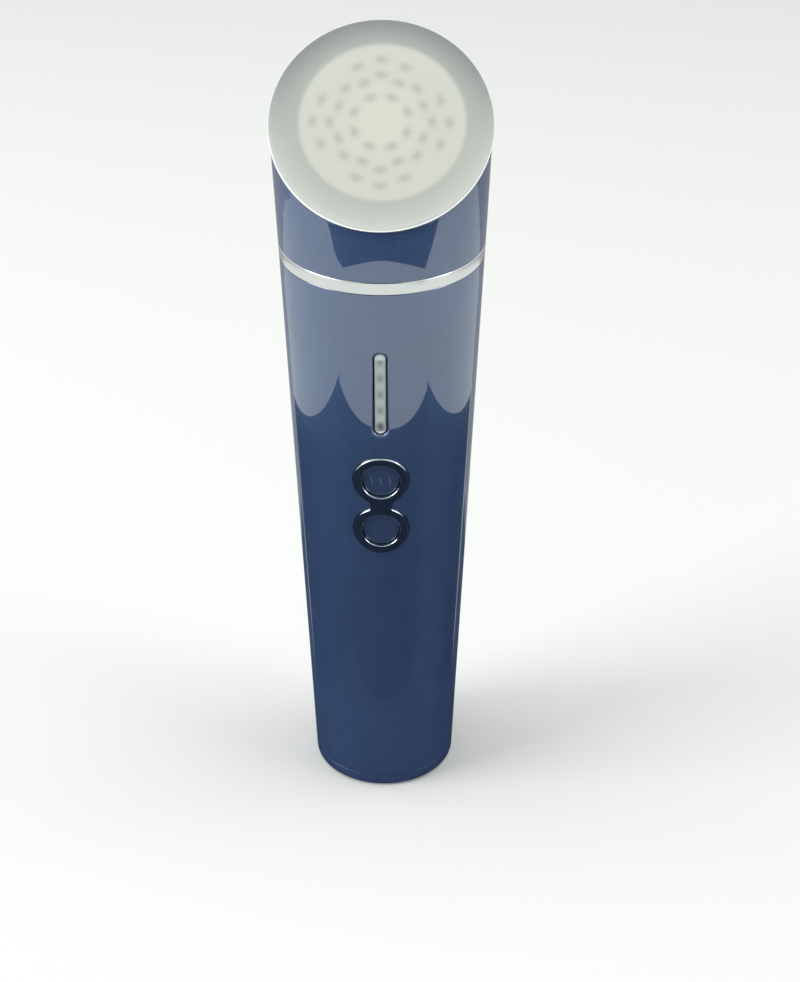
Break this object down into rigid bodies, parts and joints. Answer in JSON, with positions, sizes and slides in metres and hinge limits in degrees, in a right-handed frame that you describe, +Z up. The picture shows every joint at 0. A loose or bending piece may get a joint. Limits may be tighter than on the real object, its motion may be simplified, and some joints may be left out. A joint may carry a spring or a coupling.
{
  "type": "hot and cold facial device",
  "caption": "Cordless hot and cold facial wand: tapered round handle, tilted frosted light face, bright trim ring, indicator window and push buttons.",
  "frame": {"origin": "middle of the flat base, where the body's axis meets the surface it stands on", "axes": "+Z up along the handle, -Y towards the buttons and the face, +X to the right seen from the front"},
  "size_m": [0.0462, 0.044, 0.1795],
  "materials": {
    "pearl_blue_paint": "pearl paint under a clear coat",
    "dark_plating": "dark polished plating",
    "bright_trim": "bright",
    "frosted_cover": "frosted",
    "black_rubber": "matte",
    "plain_aluminium": "satin",
    "white_board": "solder mask",
    "green_board": "solder mask",
    "light_resin": "clear over yellow",
    "pad_rubber": "soft",
    "white_ceramic": "ceramic",
    "pellet_alloy": "cut metal",
    "black_plastic": "fine grain",
    "dark_plastic": "fine grain",
    "cream_plastic": "plain",
    "brown_ceramic": "plain",
    "milky_window": "milky",
    "wrapped_cell": "shrink wrap",
    "nickel": "plated",
    "screw_steel": "plated",
    "ribbon_film": "film",
    "lead_jacket": "smooth"
  },
  "bodies": {
    "body": {"handle_shell": "pearl_blue_paint", "head_shell": "pearl_blue_paint", "trim_ring": "bright_trim", "base_cap": "pearl_blue_paint", "base_seal": "black_rubber", "face_cover": "frosted_cover", "face_seal": "black_rubber", "contact_plate": "plain_aluminium", "light_board": "white_board", "face_lights": "light_resin", "front_thermal_pad": "pad_rubber", "thermo_plates": "white_ceramic", "thermo_pellets": "pellet_alloy", "rear_thermal_pad": "pad_rubber", "heat_sink": "plain_aluminium", "heat_sensor": "black_plastic", "head_frame": "dark_plastic", "sink_screws": "screw_steel", "head_frame_screws": "screw_steel", "neck_frame": "dark_plastic", "neck_screws": "screw_steel", "indicator_window": "milky_window", "light_shield": "black_plastic", "indicator_lights": "light_resin", "button_bezel": "dark_plating", "mode_switch": "black_plastic", "power_switch": "black_plastic", "main_board": "green_board", "board_screws": "screw_steel", "control_chip": "black_plastic", "power_chip": "black_plastic", "coil": "dark_plastic", "capacitors": "brown_ceramic", "ribbon_connector": "cream_plastic", "head_connector": "cream_plastic", "battery_connector": "cream_plastic", "charge_connector": "cream_plastic", "chassis": "dark_plastic", "battery_cell": "wrapped_cell", "battery_tabs": "nickel", "battery_bands": "black_rubber", "charging_socket": "nickel", "socket_board": "green_board", "base_screws": "screw_steel", "light_ribbon": "ribbon_film", "thermo_leads": "lead_jacket", "battery_leads": "lead_jacket", "charge_leads": "lead_jacket"},
    "mode_button": {"mode_button": "pearl_blue_paint", "mode_plunger": "cream_plastic"},
    "power_button": {"power_button": "pearl_blue_paint", "power_plunger": "cream_plastic"}
  },
  "joints": [
    {"name": "mode_press", "type": "slide", "parent": "body", "child": "mode_button", "axis": [0, 0.9992, 0.0411], "range_m": [0, 0.0004], "stiffness_N_per_m": 2500, "springref_m": -0.0002},
    {"name": "power_press", "type": "slide", "parent": "body", "child": "power_button", "axis": [0, 0.9992, 0.0411], "range_m": [0, 0.0004], "stiffness_N_per_m": 2500, "springref_m": -0.0002}
  ]
}
